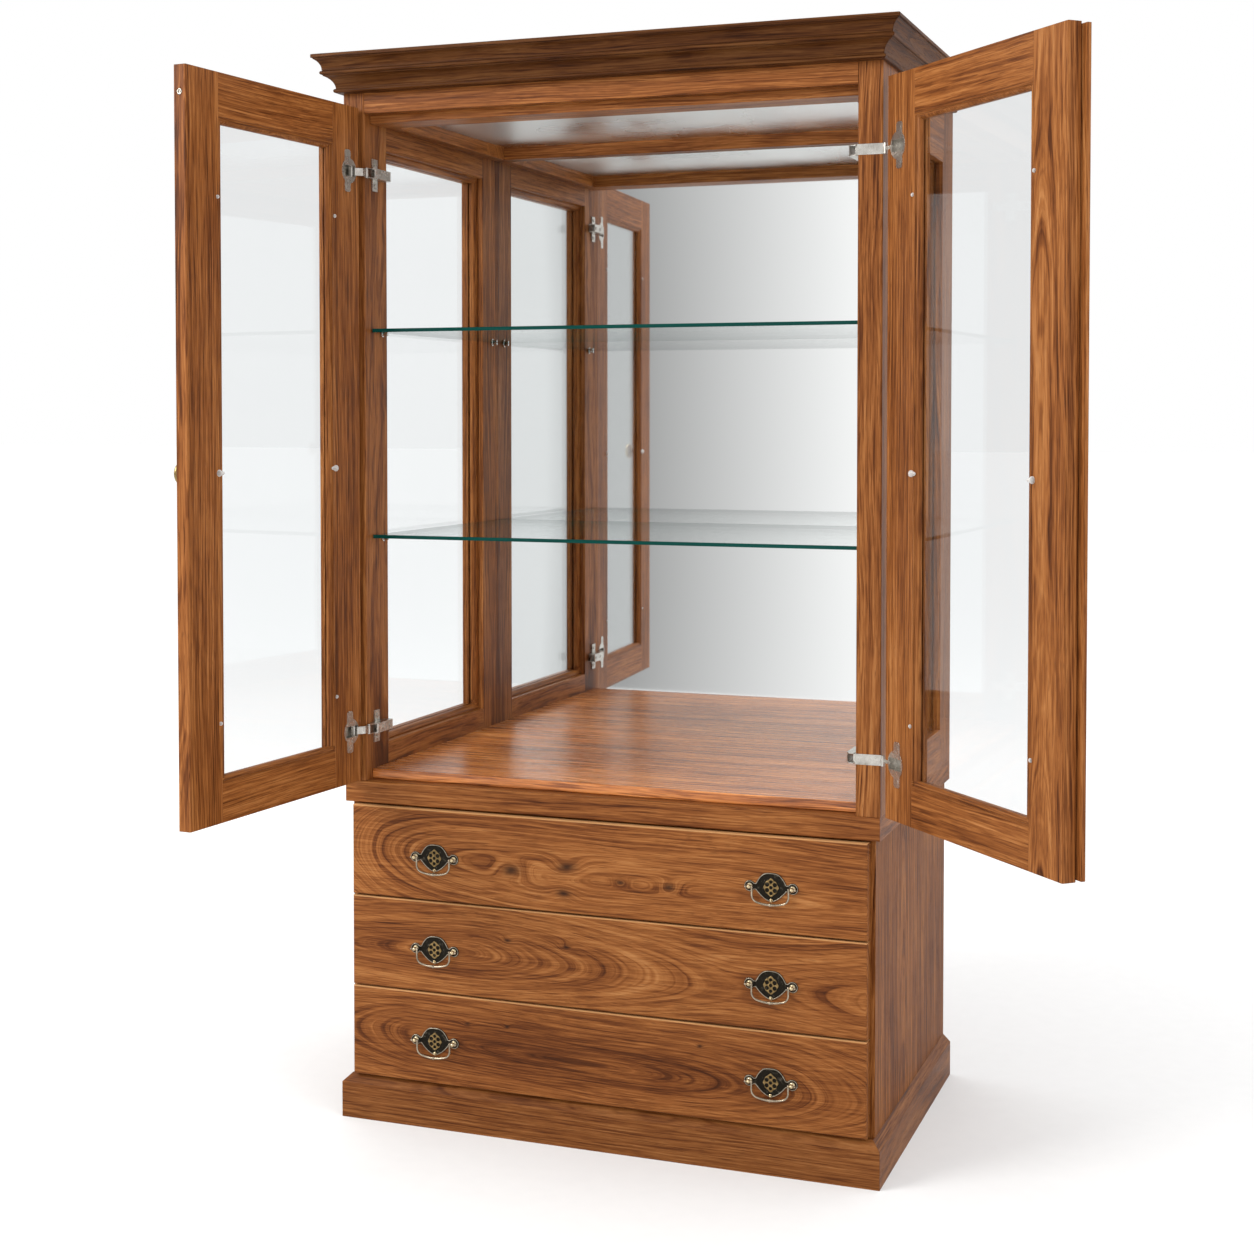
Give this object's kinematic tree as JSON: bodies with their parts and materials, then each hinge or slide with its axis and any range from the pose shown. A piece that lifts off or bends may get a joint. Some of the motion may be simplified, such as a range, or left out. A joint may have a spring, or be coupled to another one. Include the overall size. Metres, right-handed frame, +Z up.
{
  "type": "display cabinet",
  "caption": "Free-standing wooden display cabinet with glazed swinging doors, glass shelves and a mirror back over full-width drawers with bail pulls.",
  "frame": {"origin": "centre of the plinth's bottom face, on the floor", "axes": "+Z up, -Y towards the front with the doors and drawers, +X to the right of someone facing the front"},
  "size_m": [1.33, 1.0255, 1.8],
  "materials": {
    "case_wood": "satin varnished walnut",
    "door_wood": "satin varnished walnut",
    "drawer_wood": "satin varnished walnut with a lively figure",
    "box_wood": "plain sanded wood",
    "pane_glass": "clear polished",
    "shelf_glass": "clear with dark green edges",
    "mirror": "polished",
    "hinge_nickel": "satin nickel",
    "fitting_steel": "satin",
    "knob_brass": "polished, slightly worn",
    "pull_bronze": "dark antique",
    "bail_brass": "worn bright"
  },
  "bodies": {
    "cabinet": {"plinth": "case_wood", "case_base": "case_wood", "left_case_side": "case_wood", "right_case_side": "case_wood", "lower_back": "case_wood", "waist_frame": "case_wood", "display_floor": "case_wood", "left_side_stiles": "case_wood", "right_side_stiles": "case_wood", "left_side_rails": "case_wood", "right_side_rails": "case_wood", "side_beads": "case_wood", "front_top_rail": "case_wood", "upper_back": "case_wood", "ceiling_rails": "case_wood", "cornice_front": "case_wood", "cornice_left": "case_wood", "cornice_right": "case_wood", "drawer_runners": "box_wood", "left_side_glass": "pane_glass", "right_side_glass": "pane_glass", "back_mirror": "mirror", "ceiling_glass": "pane_glass", "lower_shelf": "shelf_glass", "upper_shelf": "shelf_glass", "shelf_pegs": "fitting_steel", "left_hinge_mounts": "hinge_nickel", "right_hinge_mounts": "hinge_nickel"},
    "left_link": {"left_hinge_links": "hinge_nickel"},
    "left_door": {"left_door_stiles": "door_wood", "left_door_rails": "door_wood", "left_door_beads": "door_wood", "left_door_glass": "pane_glass", "left_door_knob": "knob_brass", "left_door_clips": "fitting_steel", "left_hinge_cups": "hinge_nickel"},
    "right_door": {"right_door_stiles": "door_wood", "right_door_rails": "door_wood", "right_door_beads": "door_wood", "right_door_glass": "pane_glass", "right_door_knob": "knob_brass", "right_door_clips": "fitting_steel", "right_hinge_cups": "hinge_nickel", "right_door_astragal": "door_wood"},
    "lower_drawer": {"lower_drawer_front": "drawer_wood", "lower_drawer_box": "box_wood", "lower_drawer_pulls": "pull_bronze"},
    "lower_drawer_left_bail": {"lower_drawer_left_bail": "bail_brass"},
    "lower_drawer_right_bail": {"lower_drawer_right_bail": "bail_brass"},
    "middle_drawer": {"middle_drawer_front": "drawer_wood", "middle_drawer_box": "box_wood", "middle_drawer_pulls": "pull_bronze"},
    "middle_drawer_left_bail": {"middle_drawer_left_bail": "bail_brass"},
    "middle_drawer_right_bail": {"middle_drawer_right_bail": "bail_brass"},
    "upper_drawer": {"upper_drawer_front": "drawer_wood", "upper_drawer_box": "box_wood", "upper_drawer_pulls": "pull_bronze"},
    "upper_drawer_left_bail": {"upper_drawer_left_bail": "bail_brass"},
    "upper_drawer_right_bail": {"upper_drawer_right_bail": "bail_brass"}
  },
  "joints": [
    {"name": "left_link_pivot", "type": "hinge", "parent": "cabinet", "child": "left_link", "pos_m": [-0.418, -0.2758, 0], "axis": [0, 0, 1], "range_deg": [-45.4, 3.95]},
    {"name": "left_door_pivot", "type": "hinge", "parent": "left_link", "child": "left_door", "pos_m": [-0.43495, -0.29786, 0], "axis": [0, 0, -1], "range_deg": [-140.24, 11.81]},
    {"name": "right_door_pivot", "type": "hinge", "parent": "cabinet", "child": "right_door", "pos_m": [0.467, -0.274, 0], "axis": [0, 0, 1], "range_deg": [-133, 4]},
    {"name": "lower_drawer_slide", "type": "slide", "parent": "cabinet", "child": "lower_drawer", "axis": [0, -1, 0], "range_m": [0, 0.4]},
    {"name": "lower_drawer_left_bail_pivot", "type": "hinge", "parent": "lower_drawer", "child": "lower_drawer_left_bail", "pos_m": [-0.29204, -0.2904, 0.14783], "axis": [-1, 0, 0], "range_deg": [0, 100]},
    {"name": "lower_drawer_right_bail_pivot", "type": "hinge", "parent": "lower_drawer", "child": "lower_drawer_right_bail", "pos_m": [0.29204, -0.2904, 0.14783], "axis": [-1, 0, 0], "range_deg": [0, 100]},
    {"name": "middle_drawer_slide", "type": "slide", "parent": "cabinet", "child": "middle_drawer", "axis": [0, -1, 0], "range_m": [0, 0.4]},
    {"name": "middle_drawer_left_bail_pivot", "type": "hinge", "parent": "middle_drawer", "child": "middle_drawer_left_bail", "pos_m": [-0.29204, -0.2904, 0.3025], "axis": [-1, 0, 0], "range_deg": [0, 100]},
    {"name": "middle_drawer_right_bail_pivot", "type": "hinge", "parent": "middle_drawer", "child": "middle_drawer_right_bail", "pos_m": [0.29204, -0.2904, 0.3025], "axis": [-1, 0, 0], "range_deg": [0, 100]},
    {"name": "upper_drawer_slide", "type": "slide", "parent": "cabinet", "child": "upper_drawer", "axis": [0, -1, 0], "range_m": [0, 0.4]},
    {"name": "upper_drawer_left_bail_pivot", "type": "hinge", "parent": "upper_drawer", "child": "upper_drawer_left_bail", "pos_m": [-0.29204, -0.2904, 0.45717], "axis": [-1, 0, 0], "range_deg": [0, 100]},
    {"name": "upper_drawer_right_bail_pivot", "type": "hinge", "parent": "upper_drawer", "child": "upper_drawer_right_bail", "pos_m": [0.29204, -0.2904, 0.45717], "axis": [-1, 0, 0], "range_deg": [0, 100]}
  ],
  "couplings": [
    {"joint": "left_link_pivot", "follows": "left_door_pivot", "ratio": 0.32258}
  ]
}
